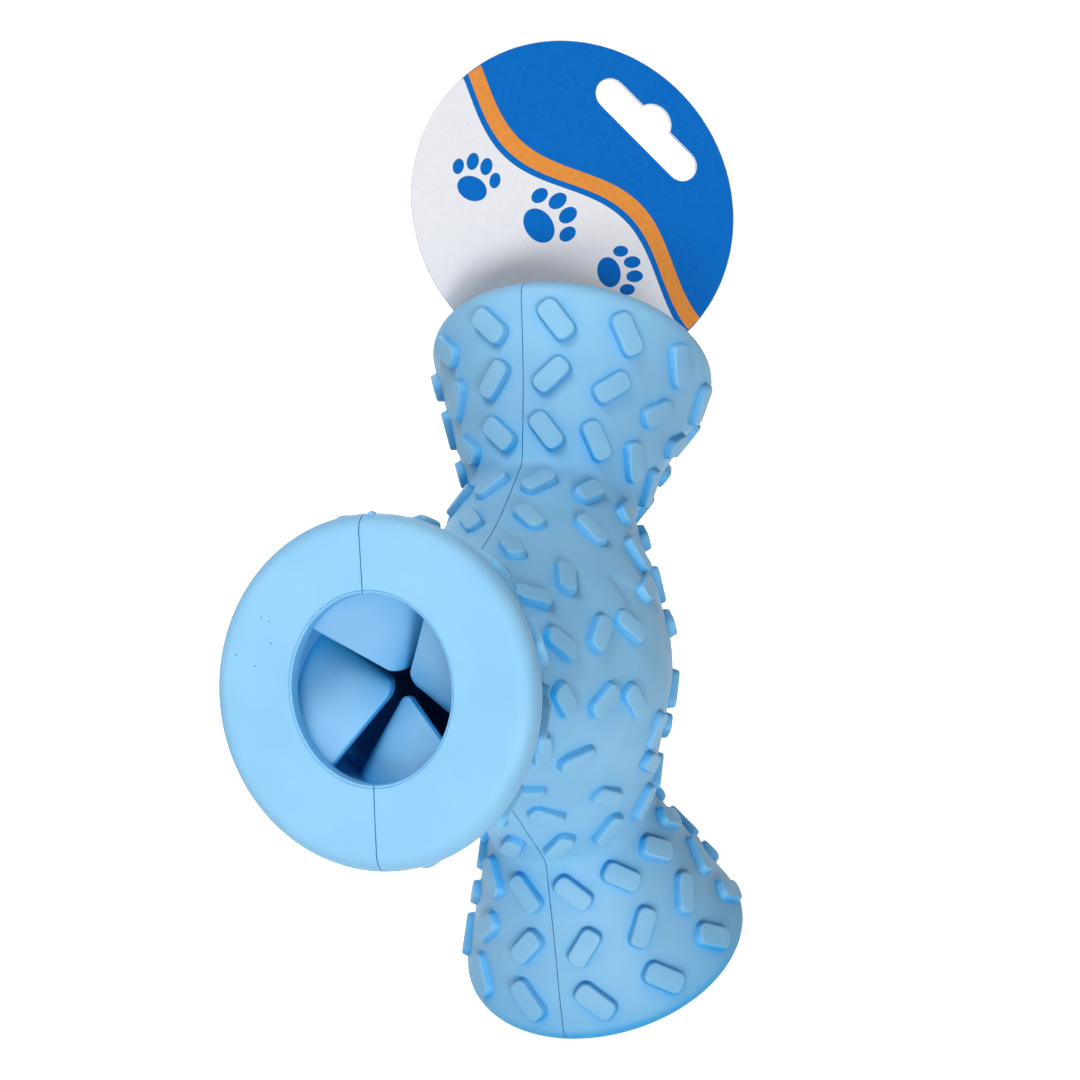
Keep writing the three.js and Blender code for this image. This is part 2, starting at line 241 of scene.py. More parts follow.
# Card finish
CARD_GLOSS = 0.08
CARD_ROUGHNESS = 0.45
INK_ROUGHNESS = 0.32
FIBRE_SCALE = 900.0
FIBRE_DETAIL = 4.0
CARD_PEEL = (1500.0, 0.02, 0.2)

# Noise in the finishes, whose values stay round their middle, and the full range
NOISE_DETAIL = 2.0
NOISE_RANGE = (0.3, 0.7)
FULL_RANGE = (0.0, 1.0)

# Stage in metres; lamps have a direction from the hub, a size and a power
FLOOR_REACH = 4.0
FLOOR_ROUGHNESS = 0.9
FLOOR_COLOUR = (0.86, 0.86, 0.86)
FLOOR_BOUNCE = (0.3, 0.3, 0.3)
FLOOR_GLOW = 0.08
FLOOR_WHITE = 0.9
WORLD_LIGHT = 0.02
WORLD_WHITE = 1.0
LAMP_DISTANCE = 2.0
LAMPS = {
    "top": ((-0.1, -0.1, 1.0), 1.1, 21.5),
    "low_right": ((0.6, -0.8, 0.04), 0.8, 23.5),
    "low_front": ((0.1, -1.0, 0.04), 0.8, 15.5),
    "front_left": ((-0.6, -0.7, 0.45), 1.1, 5.0),
    "back": ((-0.25, 1.0, 0.3), 1.1, 12.0),
}

# Camera, from the hub centre
CAMERA_PLACE = (176.28, -368.65, 240.71)
CAMERA_RIGHT = (0.9297, 0.2863, -0.2316)
CAMERA_DOWN = (-0.0553, -0.5130, -0.8565)
CAMERA_FOCAL_PIXELS = 2192.7
IMAGE_PIXELS = 1080.0
SENSOR_WIDTH = 36.0

stand_low, stand_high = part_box("valve_collar_bottom")
HUB = Vector(((stand_low.x + stand_high.x) / 2, (stand_low.y + stand_high.y) / 2, ARM_LENGTH * MM))
TO_ROW = Matrix.Translation(HUB) @ Matrix.Scale(MM, 4)
RUBBER_TO_ROW = TO_ROW @ Matrix.Diagonal((BODY_FLATNESS, 1, 1, 1))


# Mesh helpers

def arm_matrix(arm):
    return Matrix.Rotation(math.radians(ARM_TURNS[arm]), 4, "X")


def mouth_matrix(arm):
    return arm_matrix(arm) @ Matrix.Translation((0, 0, ARM_LENGTH))


def add_object(name, data):
    piece = bpy.data.objects.new(name, data)
    bpy.context.scene.collection.objects.link(piece)
    return piece


def object_from(name, shape):
    mesh = bpy.data.meshes.new(name)
    shape.to_mesh(mesh)
    shape.free()
    return add_object(name, mesh)


def baked(piece, tools=()):
    """The object's mesh with its modifiers applied; the object and its cutters are removed."""
    bpy.context.view_layer.update()
    evaluated = piece.evaluated_get(bpy.context.evaluated_depsgraph_get())
    mesh = bpy.data.meshes.new_from_object(evaluated)
    for item in (piece, *tools):
        bpy.data.objects.remove(item)
    return mesh


def cut_by(piece, tool, operation):
    cut = piece.modifiers.new("cut", "BOOLEAN")
    cut.object = tool
    cut.operation = operation
    cut.solver = "MANIFOLD"


def finished(piece, material, body, *nodes, sharp=SHARP_ANGLE, place=RUBBER_TO_ROW):
    """Smooth shading, finish and place of a piece whose mesh is in millimetres round the hub."""
    piece.data.transform(place)
    piece.data.shade_smooth()
    piece.data.set_sharp_from_angle(angle=math.radians(sharp))
    piece.data.materials.clear()
    piece.data.materials.append(material)
    if body:
        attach(piece, body)
    if nodes:
        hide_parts(*nodes)
    return piece


def arc(centre, radius, start, end, steps):
    angles = [start + (end - start) * i / steps for i in range(steps + 1)]
    return [(centre[0] + radius * math.cos(angle), centre[1] + radius * math.sin(angle)) for angle in angles]


def resampled(points, step):
    """The same line with extra points, so that no stretch is longer than step."""
    line = [points[0]]
    for (x0, y0), (x1, y1) in zip(points, points[1:]):
        count = max(1, math.ceil(math.hypot(x1 - x0, y1 - y0) / step))
        line += [(x0 + (x1 - x0) * i / count, y0 + (y1 - y0) * i / count) for i in range(1, count + 1)]
    return line


def turned(profile, closed=False):
    """A profile of (radius, station) points turned about Z."""
    shape = bmesh.new()
    verts = [shape.verts.new((radius, 0, station)) for radius, station in profile]
    pairs = list(zip(verts, verts[1:]))
    if closed:
        pairs.append((verts[-1], verts[0]))
    edges = [shape.edges.new(pair) for pair in pairs]
    bmesh.ops.spin(shape, geom=verts + edges, cent=(0, 0, 0), axis=(0, 0, 1), angle=2 * math.pi,
                   steps=ROUND_SEGMENTS, use_merge=True)
    bmesh.ops.remove_doubles(shape, verts=shape.verts, dist=TURN_MERGE)
    bmesh.ops.recalc_face_normals(shape, faces=shape.faces)
    return shape


def moved_into(target, source, matrix):
    """Adds a mesh, moved by a matrix, to another and frees it."""
    bmesh.ops.transform(source, matrix=matrix, verts=source.verts)
    mesh = bpy.data.meshes.new("part")
    source.to_mesh(mesh)
    source.free()
    target.from_mesh(mesh)
    bpy.data.meshes.remove(mesh)


# Body profile: hub round, straight cone, neck fillet, straight flare and rim round

def tangent_slope(rise, run, radius_sum):
    """Slope of the straight stretch between two rounds that bend opposite ways."""
    return math.atan2(rise, run) + math.asin(radius_sum / math.hypot(rise, run))


NECK_CENTRE = (NECK_RADIUS + NECK_FILLET, NECK_STATION)
RIM_CENTRE = (RIM_RADIUS - RIM_ROUND, ARM_LENGTH - RIM_ROUND)
FLARE_RISE = RIM_CENTRE[0] - NECK_CENTRE[0]
FLARE_RUN = RIM_CENTRE[1] - NECK_STATION
HUB_SLOPE = tangent_slope(-NECK_CENTRE[0], NECK_STATION, NECK_FILLET + HUB_RADIUS)
FLARE_SLOPE = tangent_slope(FLARE_RISE, FLARE_RUN, NECK_FILLET + RIM_ROUND)
HUB_TANGENT = HUB_RADIUS * math.sin(HUB_SLOPE)
FLARE_END = RIM_CENTRE[1] - RIM_ROUND * math.sin(FLARE_SLOPE)


def surface_at(station):
    """Radius and slope of the body at a station, away from the neck fillet."""
    if station < HUB_TANGENT:
        return math.sqrt(HUB_RADIUS ** 2 - station ** 2), -math.asin(station / HUB_RADIUS)
    if station < NECK_STATION:
        anchor = HUB_RADIUS * math.cos(HUB_SLOPE)
        return anchor - (station - HUB_TANGENT) * math.tan(HUB_SLOPE), -HUB_SLOPE
    anchor = RIM_CENTRE[0] + RIM_ROUND * math.cos(FLARE_SLOPE)
    return anchor + (station - FLARE_END) * math.tan(FLARE_SLOPE), FLARE_SLOPE


def hub_and_neck(inset, steps):
    """The profile from the hub centre to the start of the flare, set in by an inset."""
    cone_radius = (HUB_RADIUS - inset) * math.cos(HUB_SLOPE)
    cone_station = (HUB_RADIUS - inset) * math.sin(HUB_SLOPE)
    neck = arc(NECK_CENTRE, NECK_FILLET + inset, math.pi + HUB_SLOPE, math.pi - FLARE_SLOPE, steps)
    return [(0, 0), (cone_radius, 0), (cone_radius, cone_station), *neck]


def saddle_lift(point, arm):
    """How far the hub's saddle between this arm and its neighbours stands over the bare arm."""
    lift = 0.0
    for other in ARM_TURNS:
        if other == arm:
            continue
        local = arm_matrix(other).inverted() @ point
        if not 0 < local.z < NECK_STATION:
            continue
        radius, slope = surface_at(local.z)
        away = abs(math.hypot(local.x, local.y) - radius) * math.cos(slope)
        lift = max(lift, SADDLE_RISE * max(0.0, 1 - away / SADDLE_BLEND) ** 2)
    return lift


def arm_shape(arm, inset):
    """One bare arm with its share of the hub, its surface set in by an inset."""
    rim = arc(RIM_CENTRE, RIM_ROUND - inset, -FLARE_SLOPE, math.pi / 2, RIM_STEPS)
    corners = [*hub_and_neck(inset, NECK_STEPS), *rim, (0, ARM_LENGTH - inset)]
    shape = turned(resampled(corners, PROFILE_STEP))
    bmesh.ops.transform(shape, matrix=arm_matrix(arm), verts=shape.verts)
    shape.normal_update()
    lifts = [(vert, saddle_lift(vert.co, arm) * vert.normal) for vert in shape.verts]
    for vert, offset in lifts:
        vert.co += offset
    return shape


def mouth_oval(arm):
    """A mouth and its valve are a little taller than wide; the front one sits a little off its axis."""
    return Matrix.Translation((*MOUTH_SHIFTS[arm], 0)) @ Matrix.Diagonal((*MOUTH_OVAL, 1, 1))


def chamber_shape(arm):
    """The treat chamber of one arm, the groove of its collar and its mouth with a rounded, lined lip."""
    groove = COLLAR_BORE + COLLAR_WALL + SEAT_CLEARANCE
    groove_back = ARM_LENGTH - COLLAR_BACK - SEAT_CLEARANCE
    lip_back = ARM_LENGTH - LIP_THICKNESS
    shoulder = groove_back - SHOULDER_LENGTH
    chamber_radius = surface_at(shoulder)[0] - WALL / math.cos(FLARE_SLOPE)
    lip_centre = (MOUTH_RADIUS, ARM_LENGTH - LIP_ROUND)
    outside = ARM_LENGTH + CUT_CLEARANCE
    profile = [
        *hub_and_neck(WALL, CHAMBER_STEPS),
        (chamber_radius, shoulder),
        (MOUTH_RADIUS, shoulder),
        (MOUTH_RADIUS, groove_back),
        (groove, groove_back),
        (groove, lip_back),
        (MOUTH_RADIUS - LIP_ROUND, lip_back),
        *arc(lip_centre, LIP_ROUND, math.pi, math.pi / 2, LIP_STEPS),
        (MOUTH_RADIUS, outside),
        (MOUTH_RADIUS + LIP_LINE_WIDTH / 2, ARM_LENGTH - LIP_LINE_DEPTH),
        (MOUTH_RADIUS + LIP_LINE_WIDTH, outside),
        (MOUTH_RADIUS + LIP_LINE_WIDTH, ARM_LENGTH + WALL),
        (0, ARM_LENGTH + WALL),
    ]
    shape = turned(profile)
    mouth = [vert for vert in shape.verts if vert.co.z > shoulder - MATCH_TOLERANCE]
    bmesh.ops.transform(shape, matrix=mouth_oval(arm), verts=mouth)
    return shape


# Pads and flash

def rounded_rectangle(length, width, corner, steps):
    x, y = length / 2 - corner, width / 2 - corner
    outline = []
    for quarter, centre in enumerate([(x, y), (-x, y), (-x, -y), (x, -y)]):
        start = quarter * math.pi / 2
        outline += arc(centre, corner, start, start + math.pi / 2, steps)
    return outline


def pad_shape():
    """A rounded oblong that narrows from its buried foot to its flat top."""
    levels = [(-PAD_SINK, 0.0), (0.0, 0.0)]
    shoulder = (PAD_HEIGHT - PAD_EDGE_ROUND, PAD_TAPER + PAD_EDGE_ROUND)
    levels += arc(shoulder, PAD_EDGE_ROUND, -math.pi / 2, 0.0, PAD_EDGE_STEPS)
    shape = bmesh.new()
    rings = []
    for height, inset in levels:
        length, width = PAD_LENGTH - 2 * inset, PAD_WIDTH - 2 * inset
        outline = rounded_rectangle(length, width, PAD_CORNER - PAD_CORNER_SHRINK * inset, PAD_CORNER_STEPS)
        rings.append([shape.verts.new((x, y, height)) for x, y in outline])
    for low, high in zip(rings, rings[1:]):
        for i in range(len(low)):
            shape.faces.new((low[i - 1], low[i], high[i], high[i - 1]))
    shape.faces.new(reversed(rings[0]))
    shape.faces.new(rings[-1])
    return shape


PAD_REACH = (PAD_LENGTH * math.cos(PAD_SLANT) + PAD_WIDTH * math.sin(PAD_SLANT)) / 2


def pad_rows():
    """Station and lean of each row, both ways from the neck and with one more to close the hub's pattern."""
    rows = []
    station, lean = NECK_STATION + PAD_ROW_START, -1
    while station <= FLARE_END - PAD_REACH * math.cos(FLARE_SLOPE):
        rows.append((station, lean))
        station, lean = station + PAD_ROW_PITCH, -lean
    station, lean = NECK_STATION - PAD_ROW_START, 1
    while station > PAD_HUB_STATION + PAD_ROW_PITCH / 2:
        rows.append((station, lean))
        station, lean = station - PAD_ROW_PITCH, -lean
    rows.append((PAD_HUB_STATION, lean))
    return rows


def pad_size(station):
    """Pads are largest next to the rim and smallest on the hub."""
    if station < NECK_STATION:
        return PAD_HUB_SIZE
    return 1.0 if station > FLARE_END - PAD_ROW_PITCH else PAD_INNER_SIZE


def pad_places():
    """Where the pads of one arm stand, without those that would reach into the next arm."""
    places = []
    for station, lean in pad_rows():
        radius, slope = surface_at(station)
        size = pad_size(station)
        for i in range(PADS_PER_ROW):
            angle = (i + 0.5) * 2 * math.pi / PADS_PER_ROW
            radial = Vector((math.cos(angle), math.sin(angle), 0))
            around = Vector((-math.sin(angle), math.cos(angle), 0))
            along = Vector((0, 0, math.cos(slope))) + radial * math.sin(slope)
            long = along * math.cos(PAD_SLANT) + around * lean * math.sin(PAD_SLANT)
            normal = around.cross(along)
            wide = normal.cross(long)
            place = radial * radius + Vector((0, 0, station))
            if abs(place.y) > station * math.tan(ARM_SPREAD / 2) - PAD_REACH:
                continue
            basis = Matrix((long, wide, normal)).transposed().to_4x4()
            places.append(Matrix.Translation(place) @ basis @ Matrix.Diagonal((size, size, 1, 1)))
    return places


def flash_shape():
    """Bits of mould flash on the front arm: along its lip, and where the parting line crosses its rim."""
    to_edge = Matrix.Translation((MOUTH_RADIUS - LIP_FLASH_INSET, 0, 0))
    bits = []
    for angle, length in LIP_FLASH.items():
        edge = Matrix.Rotation(math.radians(angle), 4, "Z") @ to_edge
        size = Matrix.Diagonal((LIP_FLASH_WIDTH, length, LIP_FLASH_HEIGHT, 1))
        bits.append(mouth_oval("front") @ edge @ size)
    bits.append(Matrix.Translation(RIM_FLASH_PLACE) @ Matrix.Diagonal((*RIM_FLASH_SIZE, 1)))
    shape = bmesh.new()
    for bit in bits:
        bmesh.ops.create_icosphere(shape, subdivisions=FLASH_SUBDIVISIONS, radius=1.0, matrix=bit)
    bmesh.ops.transform(shape, matrix=mouth_matrix("front"), verts=shape.verts)
    return shape


# Body halves

def saddle_weight(point):
    """How much a point lies in the hub's creases between the arms."""
    gaps = []
    for arm in ARM_TURNS:
        local = arm_matrix(arm).inverted() @ point
        if local.z > NECK_STATION:
            return 0.0
        towards = arm_matrix(arm) @ Vector((0, 0, 1))
        gaps.append(abs(point.dot(towards.cross(Vector((1, 0, 0))))))
    return max(0.0, 1 - min(gaps) / SADDLE_SMOOTH_REACH)


def hub_and_arms(inset):
    """The hub and the three bare arms joined, with their surface set in by an inset."""
    hub = bmesh.new()
    bmesh.ops.create_uvsphere(hub, u_segments=ROUND_SEGMENTS, v_segments=SPHERE_RINGS,
                              radius=HUB_RADIUS - inset)
    base = object_from("base", hub)
    tools = [object_from("arm_" + arm, arm_shape(arm, inset)) for arm in ARM_TURNS]
    for tool in tools:
        cut_by(base, tool, "UNION")
    return baked(base, tools)


def hollowed(piece):
    """Takes the treat chamber of each arm out of a piece; returns the cutters."""
    tools = []
    for arm in ARM_TURNS:
        cutter = chamber_shape(arm)
        bmesh.ops.transform(cutter, matrix=arm_matrix(arm), verts=cutter.verts)
        tools.append(object_from("chamber_" + arm, cutter))
        cut_by(piece, tools[-1], "DIFFERENCE")
    return tools


def soften_saddles(body):
    crease = body.vertex_groups.new(name="crease")
    for vert in body.data.vertices:
        weight = saddle_weight(vert.co)
        if weight > 0:
            crease.add([vert.index], weight, "REPLACE")
    smooth = body.modifiers.new("soften", "SMOOTH")
    smooth.iterations = SADDLE_SMOOTH_STEPS
    smooth.vertex_group = crease.name


def body_mesh():
    """The whole rubber body as one closed mesh: hub and arms joined, pads added, chamber taken out."""
    body = add_object("body", hub_and_arms(0))
    soften_saddles(body)
    pads = bmesh.new()
    for arm in ARM_TURNS:
        for place in pad_places():
            moved_into(pads, pad_shape(), arm_matrix(arm) @ place)
    raised = object_from("pads", pads)
    cut_by(body, raised, "UNION")
    chambers = hollowed(body)
    flash = object_from("flash", flash_shape())
    cut_by(body, flash, "UNION")
    return baked(body, [raised, *chambers, flash])


def seam_wander(y, z):
    """The parting line strays a little to either side, as a hand-trimmed mould line does."""
    stray = 0.0
    for height, rate_y, rate_z, start in SEAM_WAVES:
        stray += height * math.sin(rate_y * y + rate_z * z + start)
    return stray


def parting_block(start, end):
    """A block that follows the parting surface, between two distances from it."""
    shape = bmesh.new()
    bmesh.ops.create_grid(shape, x_segments=SEAM_GRID, y_segments=SEAM_GRID, size=BODY_REACH)
    for vert in shape.verts:
        y, z = vert.co.x, vert.co.y
        vert.co = (start + seam_wander(y, z), y, z)
    far_side = bmesh.ops.extrude_face_region(shape, geom=shape.faces[:])["geom"]
    for vert in [item for item in far_side if isinstance(item, bmesh.types.BMVert)]:
        vert.co.x += end - start
    bmesh.ops.recalc_face_normals(shape, faces=shape.faces)
    return object_from("parting_block", shape)


def seam_web():
    """The rubber at the foot of the parting line, so that no light passes between the halves."""
    web = add_object("web", hub_and_arms(SEAM_DEPTH))
    chambers = hollowed(web)
    half_width = SEAM_WIDTH / 2 + SEAM_OVERLAP
    block = parting_block(-half_width, half_width)
    cut_by(web, block, "INTERSECT")
    return add_object("seam_web", baked(web, [*chambers, block]))


def body_halves(material):
    """Both halves of the body; the left one carries the web under the parting line."""
    whole = body_mesh()
    web = seam_web()
    for name, side in (("shell_left", -1), ("shell_right", 1)):
        block = parting_block(side * SEAM_WIDTH / 2, side * BODY_REACH)
        half = add_object("half", whole.copy())
        cut_by(half, block, "INTERSECT")
        if side < 0:
            cut_by(half, web, "UNION")
        piece = add_object("rubber_" + name, baked(half, [block]))
        finished(piece, material, "toy_body", name)
    bpy.data.objects.remove(web)


# Valves: the mouth frame has Z pointing out of the mouth and its origin on the end face

def collar_shape():
    inner, outer = COLLAR_BORE, COLLAR_BORE + COLLAR_WALL
    back, front = -COLLAR_BACK, -LIP_THICKNESS
    return turned([(inner, back), (outer, back), (outer, front), (inner, front)], closed=True)


def blade_plan(along, across, underlap):
    """A point of the blade seen from outside: along runs 0 to 1 from wall to tip, across from -1 to 1."""
    reach = COLLAR_BORE + FLAP_SINK
    root_angle = across * (FLAP_HALF_ANGLE - math.asin(SLIT_HALF_WIDTH / reach))
    root_angle += min(0.0, across) * underlap
    tip_centre = (SLIT_HALF_WIDTH + FLAP_TIP_ROUND) / math.sin(FLAP_HALF_ANGLE)
    tip_angle = math.pi - across * (math.pi / 2 - FLAP_HALF_ANGLE)
    root = Vector((math.cos(root_angle), math.sin(root_angle))) * reach
    tip = Vector((math.cos(tip_angle), math.sin(tip_angle))) * FLAP_TIP_ROUND + Vector((tip_centre, 0))
    return root.lerp(tip, along)


def blade_height(x, y, across):
    """The blade slopes inwards and lies askew, rolls down at one edge and stays under the lip at its root."""
    depth = FLAP_ROOT_DEPTH + FLAP_SLOPE * (MOUTH_RADIUS - x) - FLAP_SKEW * y
    from_edge = (1 + across) * max(0.0, x * math.tan(FLAP_HALF_ANGLE) - SLIT_HALF_WIDTH)
    roll = FLAP_ROLL * max(0.0, 1 - from_edge / FLAP_ROLL_REACH) ** 2
    from_lip = max(0.0, MOUTH_RADIUS - UNDER_LIP_REACH - math.hypot(x, y))
    return -max(depth + roll, UNDER_LIP_DEPTH - UNDER_LIP_SLOPE * from_lip)


def edge_loop(grid):
    """The four sides of a grid of vertices, one after the other round it."""
    return [grid[0], [row[-1] for row in grid], grid[-1][::-1], [row[0] for row in grid][::-1]]


def flap_shape(underlap):
    """A flat blade from the mouth's wall to a round tip, of even thickness and with soft edges."""
    thickness = FLAP_THICKNESS * math.sqrt(1 + FLAP_SLOPE ** 2 + FLAP_SKEW ** 2)
    shape = bmesh.new()
    front, back = [], []
    for i in range(FLAP_ROWS + 1):
        front.append([])
        back.append([])
        for j in range(FLAP_COLUMNS + 1):
            across = math.sin((2 * j / FLAP_COLUMNS - 1) * math.pi / 2)
            along = math.sin(i / FLAP_ROWS * math.pi / 2)
            x, y = blade_plan(along, across, underlap)
            height = blade_height(x, y, across)
            front[i].append(shape.verts.new((x, y, height)))
            back[i].append(shape.verts.new((x, y, height - thickness)))
    for i in range(FLAP_ROWS):
        for j in range(FLAP_COLUMNS):
            shape.faces.new((front[i][j], front[i][j + 1], front[i + 1][j + 1], front[i + 1][j]))
            shape.faces.new((back[i][j], back[i + 1][j], back[i + 1][j + 1], back[i][j + 1]))
    for upper, lower in zip(edge_loop(front), edge_loop(back)):
        for i in range(len(upper) - 1):
            shape.faces.new((upper[i + 1], upper[i], lower[i], lower[i + 1]))
    bmesh.ops.recalc_face_normals(shape, faces=shape.faces)
    return shape


def collar_piece(arm, material):
    collar = collar_shape()
    bmesh.ops.transform(collar, matrix=mouth_matrix(arm) @ mouth_oval(arm), verts=collar.verts)
    ring = object_from("collar_" + arm, collar)
    finished(ring, material, "toy_body", "valve_collar_" + arm)


def flap_piece(arm, number, material):
    """One flap of a valve, set in its mouth with softened edges."""
    turn = math.radians(VALVE_TURNS[arm]) + (number - 1) * 2 * math.pi / FLAPS_PER_VALVE
    place = mouth_matrix(arm) @ mouth_oval(arm) @ Matrix.Rotation(turn, 4, "Z")
    blade = flap_shape(FLAP_UNDERLAPS[arm])
    bmesh.ops.transform(blade, matrix=place, verts=blade.verts)
    rough = object_from("blade", blade)
    rough.modifiers.new("soften", "SUBSURF").levels = FLAP_SMOOTH_LEVELS
    flap = add_object("soft_flap_{}_{}".format(arm, number), baked(rough))
    finished(flap, material, None, "flap_{}_{}".format(arm, number), sharp=FLAP_SHARP_ANGLE)
    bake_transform(flap)


def valves(material):
    for arm in ARM_TURNS:
        collar_piece(arm, material)
        for number in range(1, FLAPS_PER_VALVE + 1):
            flap_piece(arm, number, material)


# Tag: its foot frame has X along the slit, Y out of the mouth and its origin on the end face

def plate(name, outlines, low, high):
    """A flat closed plate between two heights; outlines are holes inside the first one, or islands."""
    curve = bpy.data.curves.new(name, "CURVE")
    curve.dimensions = "2D"
    curve.fill_mode = "BOTH"
    curve.extrude = (high - low) / 2
    for outline in outlines:
        spline = curve.splines.new("POLY")
        spline.points.add(len(outline) - 1)
        for point, (x, y) in zip(spline.points, outline):
            point.co = (x, y, 0, 1)
        spline.use_cyclic_u = True
    mesh = baked(add_object(name, curve))
    mesh.transform(Matrix.Translation((0, 0, (low + high) / 2)))
    shape = bmesh.new()
    shape.from_mesh(mesh)
    bmesh.ops.remove_doubles(shape, verts=shape.verts, dist=PLATE_MERGE)
    bmesh.ops.recalc_face_normals(shape, faces=shape.faces)
    shape.to_mesh(mesh)
    shape.free()
    return mesh


def foot_matrix():
    turn = math.radians(VALVE_TURNS["back"]) + math.pi / FLAPS_PER_VALVE
    upright = Matrix.Rotation(math.pi / 2, 4, "X")
    return mouth_matrix("back") @ Matrix.Rotation(turn, 4, "Z") @ upright


def face_matrix():
    return foot_matrix() @ Matrix.Translation((0, TAG_LIFT, 0)) @ Matrix.Rotation(TAG_LEAN, 4, "X")


def art_matrix():
    """The card's printed layout: origin at the disc's centre, Y towards the hanging slot."""
    centre = Matrix.Translation((TAG_SHIFT, TAG_RADIUS - TAG_FOOT_CUT, 0))
    return face_matrix() @ centre @ Matrix.Rotation(ART_TURN, 4, "Z")


def disc_outline(margin):
    """The card's edge in its printed layout, set in by a margin, with its straight foot."""
    radius = TAG_RADIUS - margin
    half = math.acos((TAG_RADIUS - TAG_FOOT_CUT - margin) / radius)
    foot = -math.pi / 2 - ART_TURN
    return arc((0, 0), radius, foot + half, foot + 2 * math.pi - half, DISC_STEPS)


def slot_outline(margin):
    """The hanging slot: a bar with round ends and a round rise at its middle, grown by a margin."""
    end = SLOT_WIDTH / 2 + margin
    bump = SLOT_BUMP_RADIUS + margin
    base = TAG_RADIUS - SLOT_FROM_EDGE
    reach = SLOT_LENGTH / 2 - SLOT_WIDTH / 2
    meet = math.asin((end - SLOT_BUMP_RISE) / bump)
    return [
        *arc((reach, base), end, -math.pi / 2, math.pi / 2, SLOT_END_STEPS),
        *arc((0, base + SLOT_BUMP_RISE), bump, meet, math.pi - meet, SLOT_BUMP_STEPS),
        *arc((-reach, base), end, math.pi / 2, 1.5 * math.pi, SLOT_END_STEPS),
    ]


def tongue_outline():
    height = TONGUE_DEPTH + TAG_LIFT + TAG_THICKNESS
    outline = rounded_rectangle(TONGUE_WIDTH, height, TONGUE_CORNER, TONGUE_STEPS)
    return [(x, y + height / 2 - TONGUE_DEPTH) for x, y in outline]


def wave(x):
    return WAVE_HEIGHT + WAVE_SWING * math.sin(2 * math.pi * x / WAVE_LENGTH + WAVE_START)


def wave_points(offset):
    """The wave from the left edge of the card's print to the right edge, raised by an offset."""
    reach = math.ceil(TAG_RADIUS) * WAVE_STEPS_PER_MM
    places = [i / WAVE_STEPS_PER_MM for i in range(-reach, reach + 1)]
    points = [(x, wave(x) + offset) for x in places]
    return [point for point in points if math.hypot(*point) < TAG_RADIUS - PRINT_MARGIN]


def white_field():
    """The card below the wave: along the wave to the right, then back along the card's edge and foot."""
    outline = disc_outline(PRINT_MARGIN)
    above = [i for i, (x, y) in enumerate(outline) if y >= wave(x)]
    edge = outline[:above[0]][::-1] + outline[above[-1] + 1:][::-1]
    return wave_points(0) + edge


def wave_band():
    low = wave_points(BAND_GAP)
    high = wave_points(BAND_GAP + BAND_WIDTH)
    return low + high[::-1]


def paw_prints():
    """Paw prints walking across the white field, each a heel pad and four toes."""
    circle = arc((0, 0), 1.0, 0.0, 2 * math.pi, PAW_STEPS)[:-1]
    outlines = []
    for (paw_x, paw_y), turn, size in PAWS:
        cosine = size * math.cos(math.radians(turn))
        sine = size * math.sin(math.radians(turn))
        for pad_x, pad_y, wide, tall in PAW_PADS:
            pad = [(pad_x + wide * x, pad_y + tall * y) for x, y in circle]
            outlines.append([(paw_x + x * cosine - y * sine, paw_y + x * sine + y * cosine) for x, y in pad])
    return outlines


def card_pieces(card):
    """The card's slotted face and the tongue that stands in the slit."""
    half = TAG_THICKNESS / 2
    face = plate("tag_face", [disc_outline(0), slot_outline(0)], -half, half)
    face.transform(art_matrix())
    tongue = plate("tag_tongue", [tongue_outline()], -half, half)
    tongue.transform(foot_matrix())
    piece = add_object("card_tag", face)
    leg = add_object("card_tongue", tongue)
    for item, nodes in ((piece, ("hang_tag",)), (leg, ())):
        finished(item, card, "tag", *nodes, place=TO_ROW)


def print_pieces(blue, white, orange):
    """The ink on the card as thin layers, each a little higher than the one under it."""
    half = TAG_THICKNESS / 2
    printed = [
        ("print_blue", blue, [disc_outline(PRINT_MARGIN), slot_outline(PRINT_MARGIN)], 1),
        ("print_white", white, [white_field()], 2),
        ("print_orange", orange, [wave_band()], 3),
        ("print_paws", blue, paw_prints(), 3),
    ]
    for name, ink, outlines, layer in printed:
        mesh = plate(name, outlines, half - PRINT_THICKNESS, half + layer * PRINT_THICKNESS)
        mesh.transform(art_matrix())
        layer_piece = finished(add_object(name, mesh), ink, "tag", place=TO_ROW)


# Shader helpers

def new_material(name):
    material = bpy.data.materials.new(name)
    material.use_nodes = True
    return material, material.node_tree


def feed(tree, socket, value):
    """Links a socket to another node's output, or sets it to a constant."""
    if isinstance(value, bpy.types.NodeSocket):
        tree.links.new(value, socket)
    else:
        socket.default_value = value


def math_node(tree, operation, first, second):
    node = tree.nodes.new("ShaderNodeMath")
    node.operation = operation
    for socket, value in zip(node.inputs, (first, second)):
        feed(tree, socket, value)
    return node.outputs[0]


def add_node(tree, kind, **values):
    """A shader node with its sockets fed by name, given with underscores."""
    node = tree.nodes.new(kind)
    for name, value in values.items():
        feed(tree, node.inputs[name.replace("_", " ")], value)
    return node


def place_in(tree):
    """Where a shaded point lies in its object; one node serves the whole material."""
    place = tree.nodes.get("place") or tree.nodes.new("ShaderNodeTexCoord")
    place.name = "place"
    return place.outputs["Object"]


def noise(tree, scale, detail=NOISE_DETAIL):
    texture = add_node(tree, "ShaderNodeTexNoise", Scale=scale, Detail=detail, Vector=place_in(tree))
    return texture.outputs["Fac"]


def ranged(tree, value, low, high, source=NOISE_RANGE):
    """A value taken from its source range to the range from low to high."""
    node = add_node(tree, "ShaderNodeMapRange", Value=value, From_Min=source[0], From_Max=source[1],
                    To_Min=low, To_Max=high)
    return node.outputs["Result"]


